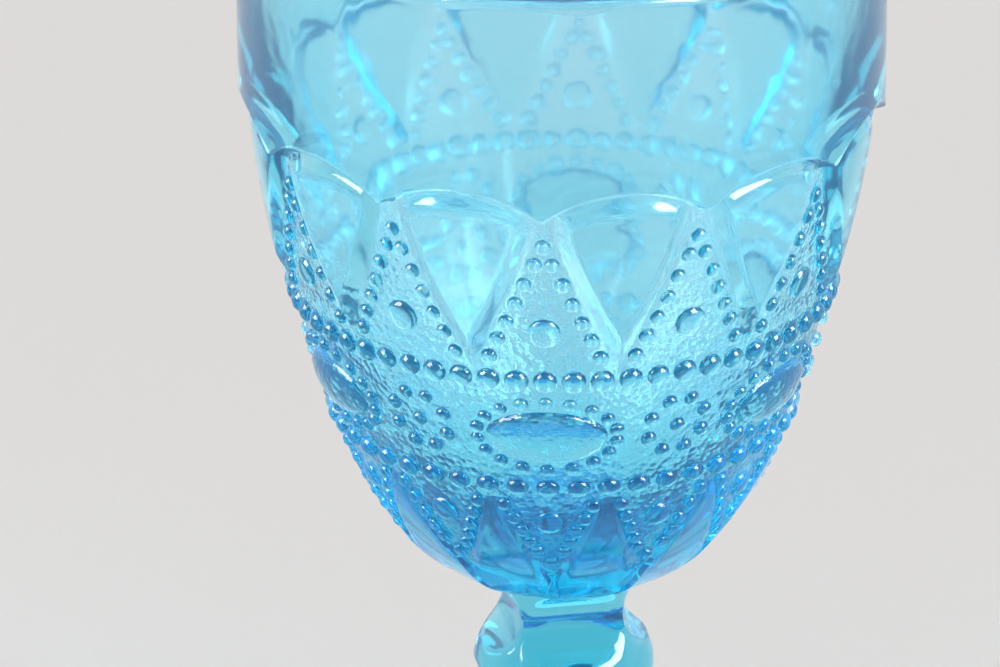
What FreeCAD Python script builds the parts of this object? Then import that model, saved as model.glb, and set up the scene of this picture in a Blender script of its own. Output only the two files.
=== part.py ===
# Pressed-glass stemmed goblet in three hot-joined pieces: a bowl with a pressed relief pattern,
# a four-sided stem with a knop, and a round foot.
# Millimetres, +Z up, origin at the centre of the foot's underside. A scallop point faces -Y.
import FreeCAD, Part
import math
import os

os.makedirs("parts", exist_ok=True)

Vector = FreeCAD.Vector
UP = Vector(0, 0, 1)
ORIGIN = Vector(0, 0, 0)

# Foot
FOOT_RADIUS = 39.0
FOOT_EDGE_HEIGHT = 3.2
FOOT_EDGE_ROUND = 1.4
FOOT_HEIGHT = 9.5
FOOT_HALFWAY_RISE = 0.36
FOOT_DISH_RADIUS = 31.0
FOOT_DISH_DEPTH = 1.4

# Stem, from the foot joint to the bowl joint
STEM_LENGTH = 58.7
STEM_BASE_RADIUS = 12.0
SHANK_RADIUS = 8.6
SHANK_WAIST_HEIGHT = 11.0
SHANK_TOP_RADIUS = 10.4
SHANK_TOP_BELOW_KNOP = 8.5
KNOP_RADIUS = 12.4
KNOP_BELOW_BOWL = 15.0
NECK_RADIUS = 9.6
NECK_BELOW_BOWL = 5.2
STEM_TOP_RADIUS = 10.0
FLUTE_COUNT = 4
NECK_FLUTE_INRADIUS = 7.0
NECK_FLUTE_ROUND = 5.4
SHANK_FLUTE_INRADIUS = 6.4
SHANK_FLUTE_ROUND = 31.0

# Bowl
BOWL_BASE_RADIUS = 10.4
BOWL_BODY_DEPTH = 67.0
BAND_HEIGHT = 29.8
BAND_RADIUS = 42.4
BAND_STEP = 2.8
BODY_POWER_DEPTH = 1.25
BODY_POWER_RADIUS = 3.0
RIM_WALL = 3.0
BODY_WALL = 2.6
FLOOR_THICKNESS = 8.5
INSIDE_POWER_DEPTH = 1.4
INSIDE_POWER_RADIUS = 2.6

# Relief pattern, repeated round the bowl. Depths run down from the scallop points.
REPEATS = 12
SCALLOP_RISE = 3.45
PETAL_PROUD = 1.4
PETAL_HALF_ANGLE = 12.8
PETAL_SHOULDER_DEPTH = 2.0
PETAL_TIP_DEPTH = 23.4
LOWER_PETAL_PROUD = 0.9
LOWER_PETAL_TOP_DEPTH = 44.6
LOWER_PETAL_HALF_ANGLE = 11.0
LOWER_PETAL_BASE_DEPTH = 63.0
UPPER_BEADS = 60
UPPER_BEAD_DEPTH = 24.8
UPPER_BEAD_RADIUS = 1.55
LOWER_BEADS = 48
LOWER_BEAD_DEPTH = 42.0
LOWER_BEAD_RADIUS = 1.45
BEAD_SINK = 0.3
BUTTON_DIAMETER = 4.3
BUTTON_HEIGHT = 0.9
UPPER_BUTTON_DEPTH = 17.4
LOWER_BUTTON_DEPTH = 47.7
MEDALLIONS = 6
MEDALLION_DEPTH = 33.7
MEDALLION_WIDTH = 16.4
MEDALLION_LENGTH = 8.6
MEDALLION_HEIGHT = 1.5

# Levels that follow from the sizes above
STEM_TOP = FOOT_HEIGHT + STEM_LENGTH
SCALLOP_LEVEL = STEM_TOP + BOWL_BODY_DEPTH
RIM_LEVEL = SCALLOP_LEVEL + BAND_HEIGHT
BODY_RADIUS = BAND_RADIUS - BAND_STEP
REPEAT_ANGLE = 360.0 / REPEATS
OVERLAP = 1.0
ROLLER_LENGTH = 4 * KNOP_RADIUS
PROFILE_POINTS = 14
SLOPE_STEP = 0.5


def closing_depth(depth, end_radius, full_radius, power_depth, power_radius):
    """Depth at which an egg-shaped profile would close, so that it has end_radius at depth."""
    left = 1.0 - (end_radius / full_radius) ** power_radius
    return depth / left ** (1.0 / power_depth)


BODY_CLOSING_DEPTH = closing_depth(
    BOWL_BODY_DEPTH, BOWL_BASE_RADIUS, BODY_RADIUS, BODY_POWER_DEPTH, BODY_POWER_RADIUS)


def body_radius(depth):
    """Outer radius of the plain ground, at a depth below the scallop points."""
    share = max(depth, 0.0) / BODY_CLOSING_DEPTH
    return BODY_RADIUS * (1.0 - share ** BODY_POWER_DEPTH) ** (1.0 / BODY_POWER_RADIUS)


def at(radius, level):
    return Vector(radius, 0, level)


def line(*points):
    return [Part.LineSegment(a, b).toShape() for a, b in zip(points, points[1:])]


def arc(start, middle, end):
    return Part.Arc(start, middle, end).toShape()


def smooth(points):
    curve = Part.BSplineCurve()
    curve.interpolate(points)
    return curve.toShape()


def turned(edges):
    """Solid of revolution of a closed outline about the vertical axis."""
    wire = Part.Wire(Part.__sortEdges__(edges))
    return Part.Face(wire).revolve(ORIGIN, UP, 360)


def repeated(shape, count, start_angle=0.0):
    """Copies of a shape made facing -Y, turned about the axis."""
    copies = []
    for k in range(count):
        copy = shape.copy()
        copy.rotate(ORIGIN, UP, start_angle + k * 360.0 / count)
        copies.append(copy)
    return copies


def radial_prism(outline, from_radius, to_radius):
    """Prism along -Y. The outline is edges in the X-Z plane."""
    face = Part.Face(Part.Wire(Part.__sortEdges__(outline)))
    face.translate(Vector(0, -from_radius, 0))
    return face.extrude(Vector(0, from_radius - to_radius, 0))


def span(radius, half_angle):
    """Half the width of a sector's chord."""
    return radius * math.sin(math.radians(half_angle))


def profile_levels(first_depth, last_depth):
    """Depths bunched towards the last one, where the profile turns in fastest."""
    for k in range(PROFILE_POINTS):
        share = math.sin(math.pi / 2 * k / (PROFILE_POINTS - 1))
        yield first_depth + (last_depth - first_depth) * share


def ground_curve(first_depth, last_depth, proud=0.0):
    return smooth([at(body_radius(d) + proud, SCALLOP_LEVEL - d)
                   for d in profile_levels(first_depth, last_depth)])


def bowl_blank():
    """Bowl before its relief: egg-shaped body, proud band, rounded lip and a smooth inside."""
    inside_radius = BODY_RADIUS - BODY_WALL
    inside_depth = BOWL_BODY_DEPTH - FLOOR_THICKNESS
    lip_inner = BAND_RADIUS - RIM_WALL
    lip_top = RIM_LEVEL - RIM_WALL / 2
    lip = arc(at(BAND_RADIUS, lip_top), at(BAND_RADIUS - RIM_WALL / 2, RIM_LEVEL), at(lip_inner, lip_top))
    inside_points = []
    for d in profile_levels(0.0, inside_depth):
        share = d / inside_depth
        radius = inside_radius * (1.0 - share ** INSIDE_POWER_DEPTH) ** (1.0 / INSIDE_POWER_RADIUS)
        inside_points.append(at(radius, SCALLOP_LEVEL - d))
    edges = [ground_curve(0.0, BOWL_BODY_DEPTH), lip, smooth(inside_points)]
    edges += line(at(BODY_RADIUS, SCALLOP_LEVEL), at(BAND_RADIUS, SCALLOP_LEVEL), at(BAND_RADIUS, lip_top))
    edges += line(at(lip_inner, lip_top), inside_points[0])
    edges += line(inside_points[-1], at(0, STEM_TOP), at(BOWL_BASE_RADIUS, STEM_TOP))
    return turned(edges)


def scallops():
    """Arched bites out of the band's lower edge, as deep as its step."""
    half = span(BAND_RADIUS, REPEAT_ANGLE / 2)
    left, right = at(-half, SCALLOP_LEVEL), at(half, SCALLOP_LEVEL)
    crown = at(0, SCALLOP_LEVEL + SCALLOP_RISE)
    below = Vector(0, 0, -OVERLAP)
    arch = [arc(left, crown, right)] + line(right, right + below, left + below, left)
    prism = radial_prism(arch, BODY_RADIUS / 2, BAND_RADIUS + OVERLAP)
    height = SCALLOP_RISE + 2 * OVERLAP
    start = Vector(0, 0, SCALLOP_LEVEL - OVERLAP)
    ring = Part.makeCylinder(BAND_RADIUS + 2 * OVERLAP, height, start)
    ring = ring.cut(Part.makeCylinder(BODY_RADIUS, height, start))
    return [p.common(ring) for p in repeated(prism, REPEATS, REPEAT_ANGLE / 2)]


def relief_shell(first_depth, last_depth, proud):
    """Skin that stands proud of the ground, from which petals are cut."""
    outer = ground_curve(first_depth, last_depth, proud)
    inner = ground_curve(first_depth, last_depth, -OVERLAP)
    edges = [outer, inner]
    for depth in (first_depth, last_depth):
        ground, level = body_radius(depth), SCALLOP_LEVEL - depth
        edges += line(at(ground - OVERLAP, level), at(ground + proud, level))
    return turned(edges)


def upper_petals():
    """Smooth wedges under each scallop, pointing down to the upper bead ring."""
    top_depth = -(SCALLOP_RISE + OVERLAP)
    shell = relief_shell(top_depth, PETAL_TIP_DEPTH, PETAL_PROUD)
    half = span(BODY_RADIUS, PETAL_HALF_ANGLE)
    shoulder = SCALLOP_LEVEL - PETAL_SHOULDER_DEPTH
    top = SCALLOP_LEVEL - top_depth
    outline = line(at(0, SCALLOP_LEVEL - PETAL_TIP_DEPTH), at(half, shoulder), at(half, top),
                   at(-half, top), at(-half, shoulder), at(0, SCALLOP_LEVEL - PETAL_TIP_DEPTH))
    prism = radial_prism(outline, BODY_RADIUS / 2, BAND_RADIUS + OVERLAP)
    return [p.common(shell) for p in repeated(prism, REPEATS, REPEAT_ANGLE / 2)]


def lower_petals():
    """Smooth wedges round the bottom of the bowl, pointing up to the lower bead ring."""
    shell = relief_shell(LOWER_PETAL_TOP_DEPTH, LOWER_PETAL_BASE_DEPTH, LOWER_PETAL_PROUD)
    base = SCALLOP_LEVEL - LOWER_PETAL_BASE_DEPTH
    half = span(body_radius(LOWER_PETAL_BASE_DEPTH), LOWER_PETAL_HALF_ANGLE)
    tip = at(0, SCALLOP_LEVEL - LOWER_PETAL_TOP_DEPTH)
    outline = line(tip, at(half, base), at(-half, base), tip)
    prism = radial_prism(outline, BOWL_BASE_RADIUS / 2, BAND_RADIUS)
    return [p.common(shell) for p in repeated(prism, REPEATS, REPEAT_ANGLE / 2)]


def on_ground(depth, sink=0.0):
    """Point of the ground that faces -Y, sunk below the surface."""
    return Vector(0, -(body_radius(depth) - sink), SCALLOP_LEVEL - depth)


def bead_ring(count, depth, radius):
    return repeated(Part.makeSphere(radius, on_ground(depth, BEAD_SINK)), count)


def cabochons(count, depth, width, length, height, start_angle=0.0):
    """Low oval domes that lie along the slope of the ground."""
    slope = (body_radius(depth - SLOPE_STEP) - body_radius(depth + SLOPE_STEP)) / (2 * SLOPE_STEP)
    stretch = FreeCAD.Matrix()
    stretch.scale(width / 2, height, length / 2)
    dome = Part.makeSphere(1.0).transformGeometry(stretch)
    dome.rotate(ORIGIN, Vector(1, 0, 0), math.degrees(math.atan(slope)))
    dome.translate(on_ground(depth))
    return repeated(dome, count, start_angle)


def bowl():
    relief = upper_petals() + lower_petals()
    relief += bead_ring(UPPER_BEADS, UPPER_BEAD_DEPTH, UPPER_BEAD_RADIUS)
    relief += bead_ring(LOWER_BEADS, LOWER_BEAD_DEPTH, LOWER_BEAD_RADIUS)
    relief += cabochons(MEDALLIONS, MEDALLION_DEPTH, MEDALLION_WIDTH, MEDALLION_LENGTH, MEDALLION_HEIGHT)
    for depth in (UPPER_BUTTON_DEPTH, LOWER_BUTTON_DEPTH):
        relief += cabochons(REPEATS, depth, BUTTON_DIAMETER, BUTTON_DIAMETER, BUTTON_HEIGHT)
    return bowl_blank().cut(scallops()).fuse(relief)


def stem():
    """Turned blank with a knop, cut to four sides by hollow flutes above and below the knop."""
    bottom = FOOT_HEIGHT
    waist = bottom + SHANK_WAIST_HEIGHT
    knop = STEM_TOP - KNOP_BELOW_BOWL
    neck = STEM_TOP - NECK_BELOW_BOWL
    edges = [smooth([at(STEM_BASE_RADIUS, bottom), at(SHANK_RADIUS, waist),
                     at(SHANK_TOP_RADIUS, knop - SHANK_TOP_BELOW_KNOP), at(KNOP_RADIUS, knop),
                     at(NECK_RADIUS, neck), at(STEM_TOP_RADIUS, STEM_TOP)])]
    edges += line(at(STEM_TOP_RADIUS, STEM_TOP), at(0, STEM_TOP))
    edges += line(at(0, STEM_TOP), at(0, bottom), at(STEM_BASE_RADIUS, bottom))
    blank = turned(edges)
    flutes = []
    for level, inradius, round_radius in (
            (neck, NECK_FLUTE_INRADIUS, NECK_FLUTE_ROUND),
            ((waist + knop) / 2, SHANK_FLUTE_INRADIUS, SHANK_FLUTE_ROUND)):
        end = Vector(-ROLLER_LENGTH / 2, -(inradius + round_radius), level)
        roller = Part.makeCylinder(round_radius, ROLLER_LENGTH, end, Vector(1, 0, 0))
        flutes += repeated(roller, FLUTE_COUNT, REPEAT_ANGLE / 2)
    return blank.cut(flutes)


def foot():
    """Round foot, rising in a hollow curve to the stem, with a shallow dish underneath."""
    edge_top = at(FOOT_RADIUS - FOOT_EDGE_ROUND, FOOT_EDGE_HEIGHT)
    edge_mid = at(FOOT_RADIUS, FOOT_EDGE_HEIGHT / 2)
    edge_low = at(FOOT_RADIUS - FOOT_EDGE_ROUND, 0)
    halfway = (FOOT_RADIUS + STEM_BASE_RADIUS) / 2
    rise = FOOT_HEIGHT - FOOT_EDGE_HEIGHT
    upper_mid = at(halfway, FOOT_EDGE_HEIGHT + rise * FOOT_HALFWAY_RISE)
    upper = arc(at(STEM_BASE_RADIUS, FOOT_HEIGHT), upper_mid, edge_top)
    dish_round = (FOOT_DISH_RADIUS ** 2 + FOOT_DISH_DEPTH ** 2) / (2 * FOOT_DISH_DEPTH)
    halfway_fall = dish_round - math.sqrt(dish_round ** 2 - (FOOT_DISH_RADIUS / 2) ** 2)
    dish = arc(at(FOOT_DISH_RADIUS, 0), at(FOOT_DISH_RADIUS / 2, FOOT_DISH_DEPTH - halfway_fall),
               at(0, FOOT_DISH_DEPTH))
    edges = [upper, arc(edge_top, edge_mid, edge_low), dish]
    edges += line(edge_low, at(FOOT_DISH_RADIUS, 0))
    edges += line(at(0, FOOT_DISH_DEPTH), at(0, FOOT_HEIGHT), at(STEM_BASE_RADIUS, FOOT_HEIGHT))
    return turned(edges)


for name, make in (("foot", foot), ("stem", stem), ("bowl", bowl)):
    shape = make()
    print(name, shape.isValid(), len(shape.Solids), round(shape.Volume / 1000, 1), "cm3")
    shape.exportStep(os.path.join("parts", name + ".step"))
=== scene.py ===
import math

import bpy
from mathutils import Matrix, Vector


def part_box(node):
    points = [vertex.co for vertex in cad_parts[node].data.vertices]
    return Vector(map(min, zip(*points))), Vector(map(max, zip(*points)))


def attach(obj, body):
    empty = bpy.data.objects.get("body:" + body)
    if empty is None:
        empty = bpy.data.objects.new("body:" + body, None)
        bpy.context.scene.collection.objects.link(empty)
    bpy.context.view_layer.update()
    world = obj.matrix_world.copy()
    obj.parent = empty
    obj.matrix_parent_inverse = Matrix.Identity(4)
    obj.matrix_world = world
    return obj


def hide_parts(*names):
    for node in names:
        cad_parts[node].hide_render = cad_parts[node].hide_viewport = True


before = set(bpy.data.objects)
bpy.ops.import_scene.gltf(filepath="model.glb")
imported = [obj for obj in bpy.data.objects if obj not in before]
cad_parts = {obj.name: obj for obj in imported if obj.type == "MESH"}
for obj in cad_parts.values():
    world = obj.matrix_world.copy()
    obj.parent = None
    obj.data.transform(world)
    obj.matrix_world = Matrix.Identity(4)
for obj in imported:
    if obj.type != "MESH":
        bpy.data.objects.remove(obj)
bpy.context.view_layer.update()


# ---- Bowl: the pressed blank ------------------------------------------------------------
# The bowl is one wall of sky-blue glass, pressed between a patterned iron mould and a smooth plunger.
# A plain band overhangs twelve smooth petals. Bead triangles, two bead rings and ovals fill the
# stippled ground between them, and a second row of flat petals closes in on the stem.
MM = 0.001
REPEATS = 12
SECTOR = math.tau / REPEATS
bowl_low, bowl_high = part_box("bowl")
BAND_HEIGHT = 29.8 * MM
BAND_RADIUS = (bowl_high.x - bowl_low.x) / 2
BAND_STEP = 2.8 * MM
BODY_RADIUS = BAND_RADIUS - BAND_STEP
BASE_RADIUS = 10.4 * MM
SCALLOP_LEVEL = bowl_high.z - BAND_HEIGHT
BODY_DEPTH = SCALLOP_LEVEL - bowl_low.z
SCALLOP_RISE = 3.45 * MM
SCALLOP_HALF_ANGLE, SCALLOP_POWER = math.radians(14.6), 2.3
RIM_WALL = 3.0 * MM
BODY_WALL = 2.6 * MM
FLOOR_THICKNESS = 8.5 * MM
DEPTH_POWER, RADIUS_POWER = 1.25, 3
CLOSING_DEPTH = BODY_DEPTH / (1 - (BASE_RADIUS / BODY_RADIUS) ** RADIUS_POWER) ** (1 / DEPTH_POWER)
JOINT_OVERLAP = 0.03 * MM

PETAL_SHOULDER, PETAL_TIP = 2.0 * MM, 23.6 * MM
PETAL_HALF_WIDTH = 9.0 * MM
PETAL_WIDEST_ANGLE = math.radians(13.4)
PETAL_TAPER = 1.2
PETAL_PROUD = 1.5 * MM
PETAL_BEVEL, PETAL_BEVEL_ROUND = 2.4 * MM, 1.15
PETAL_TOP_SHARE, PETAL_TOP_RUN = 0.35, 3.0 * MM
PETAL_TIP_SHARE, PETAL_TIP_RUN = 0.45, 5.0 * MM
LOWER_TIP, LOWER_MEETING = 44.2 * MM, 59.6 * MM
LOWER_TIP_ANGLE, LOWER_WIDEST_ANGLE = math.radians(2.0), math.radians(14.4)
LOWER_PROUD, LOWER_RISE_RUN, LOWER_FADE = 0.75 * MM, 3.0 * MM, 0.75
LOWER_BEVEL = 1.4 * MM
LOWER_MERGE_ABOVE, LOWER_MERGE_RUN = 7.0 * MM, 8.0 * MM
STIPPLE_MARGIN = 0.7 * MM
IDLE_ANGLE, LEAST_ANGLE = math.radians(6.0), math.radians(0.8)
FACE_COLUMNS, BEVEL_COLUMNS, GAP_COLUMNS = 4, 5, 6
WIDEST_BEVEL_SHARE = 0.66


def ground_radius(depth):
    """Radius of the plain ground, at a depth below the scallop points."""
    return BODY_RADIUS * (1 - (max(depth, 0) / CLOSING_DEPTH) ** DEPTH_POWER) ** (1 / RADIUS_POWER)


def eased(share):
    """A soft step: 0 below 0, 1 above 1, and level at both ends."""
    share = min(max(share, 0), 1)
    return share * share * (3 - 2 * share)


def scallop_height(turn):
    """Height of the band's lower edge above its points, at an angle from a petal's middle."""
    return SCALLOP_RISE * max(0, 1 - (abs(turn) / SCALLOP_HALF_ANGLE) ** SCALLOP_POWER)


def upper_petal_angle(depth):
    """Half the angle that an upper petal spans, at a depth below the scallop points."""
    if depth >= PETAL_TIP:
        return 0
    share = max(depth - PETAL_SHOULDER, 0) / (PETAL_TIP - PETAL_SHOULDER)
    return min(PETAL_HALF_WIDTH * (1 - share ** PETAL_TAPER) / ground_radius(depth), PETAL_WIDEST_ANGLE)


def lower_petal_angle(depth):
    """Half the angle that a lower petal spans. Below the meeting depth they stand side by side."""
    if depth <= LOWER_TIP:
        return 0
    share = (depth - LOWER_TIP) / (LOWER_MEETING - LOWER_TIP)
    angle = LOWER_TIP_ANGLE + (LOWER_WIDEST_ANGLE - LOWER_TIP_ANGLE) * share
    return min(angle, LOWER_WIDEST_ANGLE)


def mesh_angle(depth):
    """Angle of the mesh line that follows the petals' edges, kept open where there are no petals."""
    middle = (PETAL_TIP + LOWER_TIP) / 2
    idle = IDLE_ANGLE * max(0, 1 - abs(depth - middle) / (middle - PETAL_TIP))
    return max(upper_petal_angle(depth), lower_petal_angle(depth), idle, LEAST_ANGLE)


def half_sector(depth):
    """Angles of the mesh columns, from a petal's middle to the middle of the gap beside it."""
    edge = mesh_angle(depth)
    bevel = min(PETAL_BEVEL / ground_radius(depth), edge * WIDEST_BEVEL_SHARE)
    face = [(edge - bevel) * k / FACE_COLUMNS for k in range(FACE_COLUMNS)]
    slope = [edge - bevel + bevel * k / BEVEL_COLUMNS for k in range(BEVEL_COLUMNS)]
    gap = [edge + (SECTOR / 2 - edge) * k / GAP_COLUMNS for k in range(GAP_COLUMNS + 1)]
    return face + slope + gap


def petal_relief(turn, depth, below_arch):
    """How far the glass stands out from the ground."""
    radius = ground_radius(depth)
    if depth < PETAL_TIP:
        inside = max(upper_petal_angle(depth) - abs(turn), 0) * radius
        top = PETAL_TOP_SHARE + (1 - PETAL_TOP_SHARE) * eased(below_arch / PETAL_TOP_RUN)
        tip = PETAL_TIP_SHARE + (1 - PETAL_TIP_SHARE) * eased((PETAL_TIP - depth) / PETAL_TIP_RUN)
        side = 1 - (1 - min(inside / PETAL_BEVEL, 1)) ** PETAL_BEVEL_ROUND
        return PETAL_PROUD * min(side, top) * tip
    inside = (lower_petal_angle(depth) - abs(turn)) * radius
    if inside <= 0:
        return 0
    below_tip = depth - LOWER_TIP
    fade = 1 - LOWER_FADE * eased(below_tip / (BODY_DEPTH - LOWER_TIP))
    middle = LOWER_PROUD * eased(below_tip / LOWER_RISE_RUN) * fade
    flat = (radius + middle) / math.cos(turn) - radius
    merged = eased((depth - LOWER_MEETING + LOWER_MERGE_ABOVE) / LOWER_MERGE_RUN)
    return flat * max(eased(inside / LOWER_BEVEL), merged)


def ring(level_of, radius_of, spread=0, stipple_of=None):
    """One ring of the blank's mesh: (turn, radius, level, stipple) for each column of a sector."""
    angles = half_sector(spread)
    points = []
    for turn in [-angle for angle in angles[:0:-1]] + angles[:-1]:
        level = level_of(turn)
        depth = SCALLOP_LEVEL - level
        rough = stipple_of(turn, depth) if stipple_of else 0
        points.append((turn, radius_of(turn, depth), level, rough))
    return points


def stippled(turn, depth):
    """1 on the ground between the petals, 0 on the petals."""
    edge = upper_petal_angle(depth) if depth < PETAL_TIP else lower_petal_angle(depth)
    return eased((abs(turn) - edge) * ground_radius(depth) / STIPPLE_MARGIN) if edge else 1


# the rounded lip, and the plain band down to just above the scalloped edge
rings = []
LIP_STEPS = 6
BAND_SHARES = (0.01, 0.2, 0.4, 0.6, 0.8, 0.99, 1)
EDGE_ABOVE = 0.6 * MM
lip_radius = RIM_WALL / 2
lip_centre, lip_level = BAND_RADIUS - lip_radius, bowl_high.z - lip_radius
for k in range(LIP_STEPS + 1):
    tilt = math.pi / 2 * (1 - k / LIP_STEPS)
    out, up = lip_radius * math.cos(tilt), lip_radius * math.sin(tilt)
    rings.append(ring(lambda t: lip_level + up, lambda t, d: lip_centre + out))
for share in BAND_SHARES:
    def band_level(turn):
        end = SCALLOP_LEVEL + scallop_height(turn) + EDGE_ABOVE
        return lip_level + (end - lip_level) * share
    rings.append(ring(band_level, lambda t, d: BAND_RADIUS))
# the rounded edge of the band, its step face and the small cove under it: share of the step, drop
EDGE_AND_COVE = ((1.0, -0.3 * MM), (0.95, -0.1 * MM), (0.84, 0.02 * MM), (0.55, 0.2 * MM),
                 (0.28, 0.42 * MM), (0.1, 0.68 * MM), (0.02, 1.0 * MM))
for out, drop in EDGE_AND_COVE:
    def step_radius(turn, depth):
        under = ground_radius(depth) + petal_relief(turn, depth, 0)
        return under + (BAND_RADIUS - under) * out
    rings.append(ring(lambda t: SCALLOP_LEVEL + scallop_height(t) - drop, step_radius))
# the upper petals, then the middle zone and the lower petals
PETAL_RINGS, MIDDLE_RINGS, LOWER_RINGS = 30, 15, 30
RING_CROWDING = 1.12
PETAL_TOP_BELOW_EDGE, TIP_CLEARANCE = 0.7 * MM, 0.2 * MM
cove_drop = EDGE_AND_COVE[-1][1]
for k in range(1, PETAL_RINGS + 1):
    share = (k / PETAL_RINGS) ** RING_CROWDING

    def petal_level(turn):
        top = SCALLOP_LEVEL + scallop_height(turn) - cove_drop
        return top + (SCALLOP_LEVEL - PETAL_TIP - TIP_CLEARANCE - top) * share

    def petal_radius(turn, depth):
        below_arch = scallop_height(turn) + depth - PETAL_TOP_BELOW_EDGE
        return ground_radius(depth) + petal_relief(turn, depth, below_arch)
    rings.append(ring(petal_level, petal_radius, spread=PETAL_TIP * share, stipple_of=stippled))
depths = [PETAL_TIP + (LOWER_TIP - PETAL_TIP) * k / MIDDLE_RINGS for k in range(1, MIDDLE_RINGS + 1)]
for k in range(1, LOWER_RINGS + 1):
    depths.append(LOWER_TIP + (BODY_DEPTH - LOWER_TIP) * math.sin(math.pi / 2 * k / LOWER_RINGS))
for depth in depths:
    rings.append(ring(lambda t: SCALLOP_LEVEL - depth,
                      lambda t, d: ground_radius(d) + petal_relief(t, d, 0),
                      spread=depth, stipple_of=stippled))
rings.append(ring(lambda t: bowl_low.z, lambda t, d: BASE_RADIUS / 2, spread=BODY_DEPTH))
outside_count = len(rings)
# down the plunger's side, from the lip to the floor of the cup
INSIDE_LIP_STEPS, CUP_STEPS = 5, 22
FLARE_SHARES = (0.01, 0.08, 0.16, 0.25, 0.34, 0.44, 0.54, 0.64, 0.75, 0.87)
FLARE_POWER, INSIDE_RADIUS_POWER, INSIDE_DEPTH_POWER = 1.8, 2.6, 1.4
band_inside = BAND_RADIUS - RIM_WALL
inside_radius, inside_depth = BODY_RADIUS - BODY_WALL, BODY_DEPTH - FLOOR_THICKNESS
inside = []
for k in range(1, INSIDE_LIP_STEPS + 1):
    tilt = math.pi / 2 * (1 + k / INSIDE_LIP_STEPS)
    inside.append((lip_centre + lip_radius * math.cos(tilt), lip_level + lip_radius * math.sin(tilt)))
for share in FLARE_SHARES:
    inside.append((band_inside + (inside_radius - band_inside) * share ** FLARE_POWER,
                   lip_level + (SCALLOP_LEVEL - lip_level) * share))
for k in range(CUP_STEPS):
    sweep = math.pi / 2 * k / CUP_STEPS
    inside.append((inside_radius * math.cos(sweep) ** (2 / INSIDE_RADIUS_POWER),
                   SCALLOP_LEVEL - inside_depth * math.sin(sweep) ** (2 / INSIDE_DEPTH_POWER)))
for radius, level in inside:
    rings.append(ring(lambda t: level, lambda t, d: radius))

# one closed mesh, with the sectors side by side round the axis
points, stipple = [], []
for one_ring in rings:
    for k in range(REPEATS):
        middle = -math.pi / 2 + SECTOR * (k + 0.5)
        for turn, radius, level, rough in one_ring:
            points.append((radius * math.cos(middle + turn), radius * math.sin(middle + turn), level))
            stipple.append(rough)
around = len(rings[0]) * REPEATS
faces = []
pairs = [(k, k + 1) for k in range(outside_count - 1)] + [(outside_count, 0)]
pairs += [(k + 1, k) for k in range(outside_count, len(rings) - 1)]
for upper, lower in pairs:
    for i in range(around):
        j = (i + 1) % around
        faces.append((upper * around + j, upper * around + i, lower * around + i, lower * around + j))
for edge_ring, level in ((outside_count - 1, bowl_low.z), (len(rings) - 1, SCALLOP_LEVEL - inside_depth)):
    centre = len(points)
    points.append((0, 0, level))
    stipple.append(0)
    for i in range(around):
        a, b = edge_ring * around + i, edge_ring * around + (i + 1) % around
        faces.append((b, a, centre) if edge_ring < outside_count else (a, b, centre))
blank = bpy.data.meshes.new("bowl_blank")
blank.from_pydata(points, [], faces)
blank.attributes.new("stipple", "FLOAT", "POINT").data.foreach_set("value", stipple)
blank.polygons.foreach_set("use_smooth", [True] * len(blank.polygons))
bowl = bpy.data.objects.new("bowl_glass", blank)
bpy.context.scene.collection.objects.link(bowl)


# ---- Bowl: beads, buttons and ovals -----------------------------------------------------
# Every bead is a small dome pressed in the same glass, from a drilled dimple in the mould.
# They are laid out flat, as angle, depth and height, for one sixth of the turn, and repeated.
# Then they are wrapped round the bowl and made one with its wall.
RING_BEAD, SMALL_BEAD, OVAL_BEAD = 3.2 * MM, 2.15 * MM, 1.95 * MM
RING_BEAD_HEIGHT, SMALL_BEAD_HEIGHT, OVAL_BEAD_HEIGHT = 1.25 * MM, 0.95 * MM, 0.85 * MM
LOWER_RING_BEAD_LENGTH, LOWER_RING_BEAD_HEIGHT, LOWER_BEAD_HEIGHT = 2.85 * MM, 1.2 * MM, 0.9 * MM
UPPER_RING_DEPTH, LOWER_RING_DEPTH = 24.8 * MM, 42.0 * MM
UPPER_RING_BEADS, LOWER_RING_BEADS = 5, 4
BUTTONS = ((17.4 * MM, 4.35 * MM, 0.95 * MM), (48.2 * MM, 4.0 * MM, 0.9 * MM))
# beads down each side of an upper and of a lower triangle: millimetres off its middle, and deep
UPPER_TRIANGLE = ((0, 4.6), (1.15, 7.2), (2.5, 10.1), (3.65, 13.0), (4.85, 15.8), (6.05, 18.4), (7.2, 21.2))
LOWER_TRIANGLE = ((5.8, 45.2), (4.6, 47.4), (3.5, 49.6), (2.6, 51.6), (1.75, 53.4), (0, 55.4))
OVAL_DEPTH, OVAL_WIDTH, OVAL_LENGTH, OVAL_HEIGHT = 33.7 * MM, 16.0 * MM, 8.4 * MM, 1.6 * MM
BORDER_BEADS, BORDER_DEPTH, BORDER_HALF_WIDTH, BORDER_HALF_LENGTH = 18, 33.6 * MM, 9.3 * MM, 5.4 * MM
ROSETTE_BEADS, ROSETTE_DEPTH, ROSETTE_RADIUS = 8, 33.2 * MM, 4.1 * MM
dome_places, dome_sizes, dome_oval = [], [], []


def slope_at(depth):
    """Change of the ground's radius with depth."""
    step = 0.1 * MM
    return (ground_radius(depth + step) - ground_radius(depth - step)) / (2 * step)


def dome(arc, depth, width, length, height, sector=0, angle=0, oval=0):
    """Set out a dome at an arc length or an angle from the middle of a sector's gap."""
    radius, fall = ground_radius(depth), math.sqrt(1 + slope_at(depth) ** 2)
    dome_places.append((sector * SECTOR + angle + arc / radius, depth, 0))
    dome_sizes.append((width / 2 / radius, length / 2 / fall, height))
    dome_oval.append(oval)


def bead(arc, depth, width, height, sector=0):
    """Set out a dome that is as long as it is wide."""
    dome(arc, depth, width, width, height, sector)


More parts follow.
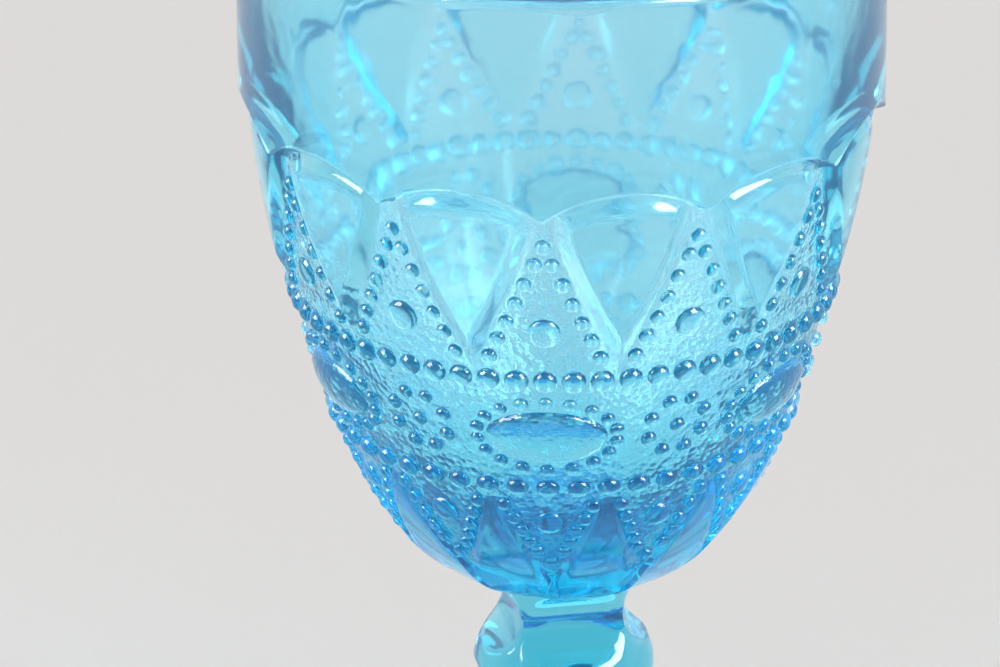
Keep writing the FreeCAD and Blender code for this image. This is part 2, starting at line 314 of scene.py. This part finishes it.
for sector in (0, 1):
    for rows, height in ((UPPER_TRIANGLE, SMALL_BEAD_HEIGHT), (LOWER_TRIANGLE, LOWER_BEAD_HEIGHT)):
        for arc, depth in rows:
            for side in (-1, 1) if arc else (1,):
                bead(side * arc * MM, depth * MM, SMALL_BEAD, height, sector)
    for depth, width, height in BUTTONS:
        bead(0, depth, width, height, sector)
    for k in range(-2, 3):
        dome(0, UPPER_RING_DEPTH, RING_BEAD, RING_BEAD, RING_BEAD_HEIGHT, sector,
             angle=SECTOR / UPPER_RING_BEADS * k)
    for k in range(-1, 3):
        dome(0, LOWER_RING_DEPTH, RING_BEAD, LOWER_RING_BEAD_LENGTH, LOWER_RING_BEAD_HEIGHT, sector,
             angle=SECTOR / LOWER_RING_BEADS * k)
dome(0, OVAL_DEPTH, OVAL_WIDTH, OVAL_LENGTH, OVAL_HEIGHT, oval=1)
for k in range(BORDER_BEADS):
    swing = math.tau * (k + 0.5) / BORDER_BEADS
    bead(BORDER_HALF_WIDTH * math.cos(swing), BORDER_DEPTH + BORDER_HALF_LENGTH * math.sin(swing),
         OVAL_BEAD, OVAL_BEAD_HEIGHT)
bead(0, ROSETTE_DEPTH, SMALL_BEAD, SMALL_BEAD_HEIGHT, sector=1)
for k in range(ROSETTE_BEADS):
    swing = math.tau * (k + 0.5) / ROSETTE_BEADS
    bead(ROSETTE_RADIUS * math.cos(swing), ROSETTE_DEPTH + ROSETTE_RADIUS * math.sin(swing),
         SMALL_BEAD, SMALL_BEAD_HEIGHT, sector=1)

layout = bpy.data.meshes.new("dome_layout")
layout.from_pydata(dome_places, [], [])
size_data = layout.attributes.new("dome_size", "FLOAT_VECTOR", "POINT").data
size_data.foreach_set("vector", [value for size in dome_sizes for value in size])
layout.attributes.new("oval", "INT", "POINT").data.foreach_set("value", dome_oval)
domes = bpy.data.objects.new("bowl_domes", layout)
bpy.context.scene.collection.objects.link(domes)

glass = bpy.data.materials.new("sky_blue_glass")

pressing = bpy.data.node_groups.new("pressed_domes", "GeometryNodeTree")
sockets = pressing.interface
sockets.new_socket("Geometry", in_out="OUTPUT", socket_type="NodeSocketGeometry")
sockets.new_socket("Layout", in_out="INPUT", socket_type="NodeSocketGeometry")
dome_inputs = {"Repeats": ("NodeSocketInt", 6), "Turn of one repeat": ("NodeSocketFloat", 2 * SECTOR),
               "Bead sides": ("NodeSocketInt", 12), "Oval sides": ("NodeSocketInt", 40),
               "Size spread": ("NodeSocketFloat", 0.04), "Seed": ("NodeSocketInt", 7),
               "Glass": ("NodeSocketMaterial", glass)}
for name, (kind, _) in dome_inputs.items():
    sockets.new_socket(name, in_out="INPUT", socket_type=kind)
nodes, links = pressing.nodes, pressing.links
given = nodes.new("NodeGroupInput")
row = nodes.new("GeometryNodeMeshLine")
links.new(given.outputs["Repeats"], row.inputs["Count"])
along = nodes.new("ShaderNodeCombineXYZ")
links.new(given.outputs["Turn of one repeat"], along.inputs["X"])
links.new(along.outputs[0], row.inputs["Offset"])
repeat = nodes.new("GeometryNodeInstanceOnPoints")
links.new(row.outputs["Mesh"], repeat.inputs["Points"])
links.new(given.outputs["Layout"], repeat.inputs["Instance"])
all_points = nodes.new("GeometryNodeRealizeInstances")
links.new(repeat.outputs["Instances"], all_points.inputs[0])
size = nodes.new("GeometryNodeInputNamedAttribute")
size.data_type = "FLOAT_VECTOR"
size.inputs["Name"].default_value = "dome_size"
is_oval = nodes.new("GeometryNodeInputNamedAttribute")
is_oval.data_type = "BOOLEAN"
is_oval.inputs["Name"].default_value = "oval"
chance = nodes.new("FunctionNodeRandomValue")
chance.data_type = "FLOAT"
links.new(given.outputs["Seed"], chance.inputs["Seed"])
least, most = nodes.new("ShaderNodeMath"), nodes.new("ShaderNodeMath")
for bound, operation in ((least, "SUBTRACT"), (most, "ADD")):
    bound.operation = operation
    bound.inputs[0].default_value = 1.0
    links.new(given.outputs["Size spread"], bound.inputs[1])
links.new(least.outputs[0], chance.inputs[2])
links.new(most.outputs[0], chance.inputs[3])
varied = nodes.new("ShaderNodeVectorMath")
varied.operation = "SCALE"
links.new(size.outputs["Attribute"], varied.inputs[0])
links.new(chance.outputs[1], varied.inputs["Scale"])
join = nodes.new("GeometryNodeJoinGeometry")
negate = nodes.new("FunctionNodeBooleanMath")
negate.operation = "NOT"
links.new(is_oval.outputs["Attribute"], negate.inputs[0])
BEAD_LAYERS, OVAL_LAYERS = 8, 16
for sides, layers, chosen in (("Bead sides", BEAD_LAYERS, negate.outputs[0]),
                              ("Oval sides", OVAL_LAYERS, is_oval.outputs["Attribute"])):
    ball = nodes.new("GeometryNodeMeshUVSphere")
    ball.inputs["Rings"].default_value = layers
    links.new(given.outputs[sides], ball.inputs["Segments"])
    place = nodes.new("GeometryNodeInstanceOnPoints")
    links.new(all_points.outputs[0], place.inputs["Points"])
    links.new(chosen, place.inputs["Selection"])
    links.new(ball.outputs["Mesh"], place.inputs["Instance"])
    links.new(varied.outputs[0], place.inputs["Scale"])
    links.new(place.outputs["Instances"], join.inputs[0])
solid = nodes.new("GeometryNodeRealizeInstances")
links.new(join.outputs[0], solid.inputs[0])
paint = nodes.new("GeometryNodeSetMaterial")
links.new(solid.outputs[0], paint.inputs["Geometry"])
links.new(given.outputs["Glass"], paint.inputs["Material"])
result = nodes.new("NodeGroupOutput")
links.new(paint.outputs[0], result.inputs[0])

press = domes.modifiers.new("press", "NODES")
press.node_group = pressing
for item in sockets.items_tree:
    if item.in_out == "INPUT" and item.name in dome_inputs:
        press[item.identifier] = dome_inputs[item.name][1]
flat_domes = bpy.data.meshes.new_from_object(domes.evaluated_get(bpy.context.evaluated_depsgraph_get()))
domes.modifiers.remove(press)
# wrap the flat domes round the bowl, with their lower halves sunk in its wall
SUNK_SHARE = 0.5
OVAL_STIPPLE = 0.6
for vertex in flat_domes.vertices:
    turn, depth, height = vertex.co
    height *= SUNK_SHARE if height < 0 else 1
    slope = slope_at(depth)
    lift = height / math.sqrt(1 + slope * slope)
    radius = ground_radius(depth) + lift
    turn -= math.pi / 2
    vertex.co = (radius * math.cos(turn), radius * math.sin(turn), SCALLOP_LEVEL - depth + slope * lift)
flat_domes.flip_normals()
on_oval = [0] * len(flat_domes.vertices)
flat_domes.attributes["oval"].data.foreach_get("value", on_oval)
rough = [OVAL_STIPPLE * value for value in on_oval]
flat_domes.attributes.new("stipple", "FLOAT", "POINT").data.foreach_set("value", rough)
flat_domes.polygons.foreach_set("use_smooth", [True] * len(flat_domes.polygons))
domes.data = flat_domes

union = bowl.modifiers.new("union", "BOOLEAN")
union.operation = "UNION"
union.solver = "MANIFOLD"
union.object = domes
blank.materials.append(glass)
pressed = bpy.data.meshes.new_from_object(bowl.evaluated_get(bpy.context.evaluated_depsgraph_get()))
bowl.modifiers.remove(union)
bpy.data.objects.remove(domes)
CREASE = math.radians(40)
pressed.set_sharp_from_angle(angle=CREASE)
bowl.data = pressed

# clear sky-blue glass: a slightly soft skin, waves from the mould, stipple on the ground, and a tint
# that deepens with the thickness; the faint glow stands for light that scatters round inside
GRAIN_SCALE, GRAIN_DEEP = 1050, 0.13 * MM
WAVE_SCALE, WAVE_HIGH = 420, 0.02 * MM
glass.use_nodes = True
nodes, links = glass.node_tree.nodes, glass.node_tree.links
shader = nodes["Principled BSDF"]
shader.inputs["Base Color"].default_value = (1.0, 1.0, 1.0, 1)
shader.inputs["Emission Color"].default_value = (0.0, 0.43, 1.0, 1)
shader.inputs["Emission Strength"].default_value = 0.042
shader.inputs["Roughness"].default_value = 0.07
shader.inputs["IOR"].default_value = 1.5
shader.inputs["Transmission Weight"].default_value = 0.98
place = nodes.new("ShaderNodeTexCoord")
grain = nodes.new("ShaderNodeTexVoronoi")
grain.feature = "F1"
grain.inputs["Scale"].default_value = GRAIN_SCALE
waves = nodes.new("ShaderNodeTexNoise")
waves.inputs["Scale"].default_value = WAVE_SCALE
waves.inputs["Detail"].default_value = 0.0
for texture in (grain, waves):
    links.new(place.outputs["Object"], texture.inputs["Vector"])
mask = nodes.new("ShaderNodeAttribute")
mask.attribute_name = "stipple"
grain_height = nodes.new("ShaderNodeMath")
grain_height.operation = "MULTIPLY"
links.new(grain.outputs["Distance"], grain_height.inputs[0])
links.new(mask.outputs["Fac"], grain_height.inputs[1])
grain_scaled = nodes.new("ShaderNodeMath")
grain_scaled.operation = "MULTIPLY"
grain_scaled.inputs[1].default_value = -GRAIN_DEEP
links.new(grain_height.outputs[0], grain_scaled.inputs[0])
height = nodes.new("ShaderNodeMath")
height.operation = "MULTIPLY_ADD"
height.inputs[1].default_value = WAVE_HIGH
links.new(waves.outputs["Fac"], height.inputs[0])
links.new(grain_scaled.outputs[0], height.inputs[2])
bump = nodes.new("ShaderNodeBump")
bump.inputs["Distance"].default_value = 1.0
links.new(height.outputs[0], bump.inputs["Height"])
links.new(bump.outputs[0], shader.inputs["Normal"])
tint = nodes.new("ShaderNodeVolumeAbsorption")
tint.inputs["Color"].default_value = (0.27, 0.872, 0.938, 1)
tint.inputs["Density"].default_value = 170.0
links.new(tint.outputs[0], nodes["Material Output"].inputs["Volume"])

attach(bowl, "root")
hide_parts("bowl")


# ---- Stem -------------------------------------------------------------------------------
# Neck, knop and shank are one solid gather of the same glass, joined hot to the bowl.
# It is turned round in the mould, with four hollow flutes over the knop and four under it.
stem_low, stem_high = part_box("stem")
KNOP_BELOW, NECK_BELOW = 15.0 * MM, 5.2 * MM
KNOP_RADIUS, NECK_RADIUS, STEM_TOP_RADIUS = 12.4 * MM, 9.6 * MM, 10.0 * MM
SHANK_TOP_BELOW_KNOP, SHANK_TOP_RADIUS = 8.5 * MM, 10.4 * MM
WAIST_HEIGHT, WAIST_RADIUS, STEM_BASE_RADIUS = 11.0 * MM, 8.6 * MM, 12.0 * MM
FLUTES = 4
FLUTE_START = -math.pi / 2 + SECTOR / 2
FLUTE_EDGE = 0.5 * MM
COLUMNS, STEM_RESOLUTION = 96, 16
knop_level, neck_level = stem_high.z - KNOP_BELOW, stem_high.z - NECK_BELOW
waist_level = stem_low.z + WAIST_HEIGHT
NECK_FLUTE_NEAREST, NECK_FLUTE_ROUND = 7.0 * MM, 5.4 * MM
SHANK_FLUTE_NEAREST, SHANK_FLUTE_ROUND = 6.4 * MM, 31.0 * MM
flute_rows = ((neck_level, NECK_FLUTE_NEAREST, NECK_FLUTE_ROUND),
              ((waist_level + knop_level) / 2, SHANK_FLUTE_NEAREST, SHANK_FLUTE_ROUND))


def run_of_curve(points, count):
    """Points along a smooth curve through a few (radius, level) points."""
    curve = bpy.data.curves.new("outline", "CURVE")
    spline = curve.splines.new("BEZIER")
    spline.bezier_points.add(len(points) - 1)
    for knot, (radius, level) in zip(spline.bezier_points, points):
        knot.co = (radius, 0, level)
        knot.handle_left_type = knot.handle_right_type = "AUTO"
    spline.resolution_u = count
    holder = bpy.data.objects.new("outline", curve)
    mesh = bpy.data.meshes.new_from_object(holder)
    outline = [(v.co.x, v.co.z) for v in mesh.vertices]
    bpy.data.objects.remove(holder)
    bpy.data.meshes.remove(mesh)
    return outline


stem_outline = run_of_curve([(STEM_TOP_RADIUS, stem_high.z + JOINT_OVERLAP), (NECK_RADIUS, neck_level),
                             (KNOP_RADIUS, knop_level), (SHANK_TOP_RADIUS, knop_level - SHANK_TOP_BELOW_KNOP),
                             (WAIST_RADIUS, waist_level), (STEM_BASE_RADIUS, stem_low.z - JOINT_OVERLAP)],
                            STEM_RESOLUTION)


def fluted_radius(blank_radius, level, turn):
    """Radius of the turned stem once its flutes are pressed, with softened edges."""
    radius = blank_radius
    sweep = math.tau / FLUTES
    off = (turn - FLUTE_START + sweep / 2) % sweep - sweep / 2
    for centre, nearest, roller in flute_rows:
        if abs(level - centre) < roller:
            cut = (nearest + roller - math.sqrt(roller ** 2 - (level - centre) ** 2)) / math.cos(off)
            blend = max(FLUTE_EDGE - abs(radius - cut), 0) / FLUTE_EDGE
            radius = min(radius, cut) - blend * blend * FLUTE_EDGE / 4
    return radius


def closed_skin(name, ring_points, top, bottom):
    """Closed mesh from rings of points that run from the top down."""
    count = len(ring_points[0])
    points = [p for one in ring_points for p in one] + [(0, 0, top), (0, 0, bottom)]
    faces = []
    last = (len(ring_points) - 1) * count
    for i in range(count):
        j = (i + 1) % count
        for k in range(len(ring_points) - 1):
            faces.append((k * count + j, k * count + i, (k + 1) * count + i, (k + 1) * count + j))
        faces.append((i, j, len(points) - 2))
        faces.append((last + j, last + i, len(points) - 1))
    mesh = bpy.data.meshes.new(name)
    mesh.from_pydata(points, [], faces)
    mesh.polygons.foreach_set("use_smooth", [True] * len(mesh.polygons))
    mesh.set_sharp_from_angle(angle=CREASE)
    mesh.materials.append(glass)
    piece = bpy.data.objects.new(name, mesh)
    bpy.context.scene.collection.objects.link(piece)
    return piece


stem_rings = []
for blank_radius, level in stem_outline:
    turns = [math.tau * k / COLUMNS for k in range(COLUMNS)]
    radii = [fluted_radius(blank_radius, level, t) for t in turns]
    stem_rings.append([(r * math.cos(t), r * math.sin(t), level) for r, t in zip(radii, turns)])
stem = closed_skin("stem_glass", stem_rings, stem_high.z + JOINT_OVERLAP, stem_low.z - JOINT_OVERLAP)
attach(stem, "root")
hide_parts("stem")


# ---- Foot -------------------------------------------------------------------------------
# The round foot spreads from the stem to a thin rounded edge, in the same glass, joined hot.
# A shallow dish underneath leaves a flat ring that the goblet stands on.
foot_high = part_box("foot")[1]
FOOT_RADIUS = foot_high.x
EDGE_HEIGHT, EDGE_ROUND = 3.2 * MM, 1.4 * MM
HALFWAY_RISE = 0.36
DISH_RADIUS, DISH_DEPTH = 31.0 * MM, 1.4 * MM
FOOT_COLUMNS, FOOT_RESOLUTION, EDGE_STEPS, DISH_STEPS = 144, 12, 12, 9
halfway_radius = (FOOT_RADIUS + STEM_BASE_RADIUS) / 2
halfway_level = EDGE_HEIGHT + (foot_high.z - EDGE_HEIGHT) * HALFWAY_RISE
edge_centre = FOOT_RADIUS - EDGE_ROUND
outline = run_of_curve([(STEM_BASE_RADIUS, foot_high.z), (halfway_radius, halfway_level),
                        (edge_centre, EDGE_HEIGHT)], FOOT_RESOLUTION)
for k in range(1, EDGE_STEPS + 1):
    tilt = math.pi / 2 - math.pi * k / EDGE_STEPS
    outline.append((edge_centre + EDGE_ROUND * math.cos(tilt), EDGE_HEIGHT / 2 * (1 + math.sin(tilt))))
for k in range(DISH_STEPS):
    share = k / DISH_STEPS
    outline.append((DISH_RADIUS * (1 - share), DISH_DEPTH * (1 - (1 - share) ** 2)))
foot_rings = []
for radius, level in outline:
    turns = [math.tau * k / FOOT_COLUMNS for k in range(FOOT_COLUMNS)]
    foot_rings.append([(radius * math.cos(t), radius * math.sin(t), level) for t in turns])
foot = closed_skin("foot_glass", foot_rings, foot_high.z, DISH_DEPTH)
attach(foot, "root")
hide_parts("foot")


# ---- Table and light --------------------------------------------------------------------
# The goblet stands on a wide pale card, in a tent of soft light that is dimmer in front of it.
# Two large soft boxes, left and right, put a pair of small highlights on every bead.
TABLE_HALF = 6.0
table_mesh = bpy.data.meshes.new("table_top")
corners = [(TABLE_HALF * x, TABLE_HALF * y, 0) for x, y in ((-1, -1), (1, -1), (1, 1), (-1, 1))]
table_mesh.from_pydata(corners, [], [(0, 1, 2, 3)])
table = bpy.data.objects.new("table_top", table_mesh)
bpy.context.scene.collection.objects.link(table)
card = bpy.data.materials.new("pale_card")
card.use_nodes = True
shader = card.node_tree.nodes["Principled BSDF"]
shader.inputs["Base Color"].default_value = (0.80, 0.79, 0.785, 1)
shader.inputs["Roughness"].default_value = 0.9
shader.inputs["Specular IOR Level"].default_value = 0.1
table_mesh.materials.append(card)

tent = bpy.data.worlds.new("light_tent")
bpy.context.scene.world = tent
tent.use_nodes = True
nodes, links = tent.node_tree.nodes, tent.node_tree.links
direction = nodes.new("ShaderNodeTexCoord")
split = nodes.new("ShaderNodeSeparateXYZ")
links.new(direction.outputs["Generated"], split.inputs[0])
TENT_STRENGTH, FRONT_SHARE = 1.2, 0.25
front_to_back = nodes.new("ShaderNodeMapRange")
front_to_back.interpolation_type = "SMOOTHSTEP"
for name, value in (("From Min", -0.75), ("From Max", 0.25), ("To Min", FRONT_SHARE), ("To Max", 1.0)):
    front_to_back.inputs[name].default_value = value
links.new(split.outputs["Y"], front_to_back.inputs["Value"])
strength = nodes.new("ShaderNodeMath")
strength.operation = "MULTIPLY"
strength.inputs[1].default_value = TENT_STRENGTH
links.new(front_to_back.outputs["Result"], strength.inputs[0])
links.new(strength.outputs[0], nodes["Background"].inputs["Strength"])
nodes["Background"].inputs["Color"].default_value = (1.0, 0.985, 0.975, 1)


def lamp(name, place, width, height, power, colour):
    """A soft box that faces the bowl. It lights glass and gloss, and leaves the table even."""
    data = bpy.data.lights.new(name, "AREA")
    data.shape = "RECTANGLE"
    data.size, data.size_y = width, height
    data.energy = power
    data.color = colour
    holder = bpy.data.objects.new(name, data)
    place = Vector(place)
    facing = (place - Vector((0, 0, SCALLOP_LEVEL))).to_track_quat("Z", "Y")
    holder.matrix_world = Matrix.Translation(place) @ facing.to_matrix().to_4x4()
    holder.visible_diffuse = False
    bpy.context.scene.collection.objects.link(holder)


LAMP_POWER, BOUNCES = 50.0, 16
lamp("left_lamp", (-1.10, -0.35, 0.90), 1.00, 1.00, LAMP_POWER, (1.0, 0.93, 0.97))
lamp("right_lamp", (1.05, -0.47, 0.90), 0.90, 1.00, LAMP_POWER, (1.0, 1.0, 1.0))
bpy.context.scene.view_settings.view_transform = "Standard"
bpy.context.scene.cycles.max_bounces = BOUNCES
bpy.context.scene.cycles.transmission_bounces = BOUNCES


# ---- Camera -----------------------------------------------------------------------------
# A long lens stands a good metre in front, a few degrees to the right of the front scallop point.
# It looks down on the bowl, and leans very slightly.
DISTANCE, ASIDE, BELOW = 1062.5 * MM, -8.3 * MM, -30.6 * MM
AZIMUTH, ELEVATION, LEAN = math.radians(4.16), math.radians(23.43), math.radians(-0.35)
camera_data = bpy.data.cameras.new("camera")
camera_data.lens = 292.0
camera_data.sensor_width = 36.0
camera_data.clip_start, camera_data.clip_end = 0.01, 50.0
camera = bpy.data.objects.new("camera", camera_data)
bpy.context.scene.collection.objects.link(camera)
aim = Matrix.Rotation(AZIMUTH, 4, "Z") @ Matrix.Rotation(math.pi / 2 - ELEVATION, 4, "X")
stand = Vector((0, 0, SCALLOP_LEVEL)) + aim @ Vector((ASIDE, BELOW, DISTANCE))
camera.matrix_world = Matrix.Translation(stand) @ aim @ Matrix.Rotation(LEAN, 4, "Z")
bpy.context.scene.camera = camera
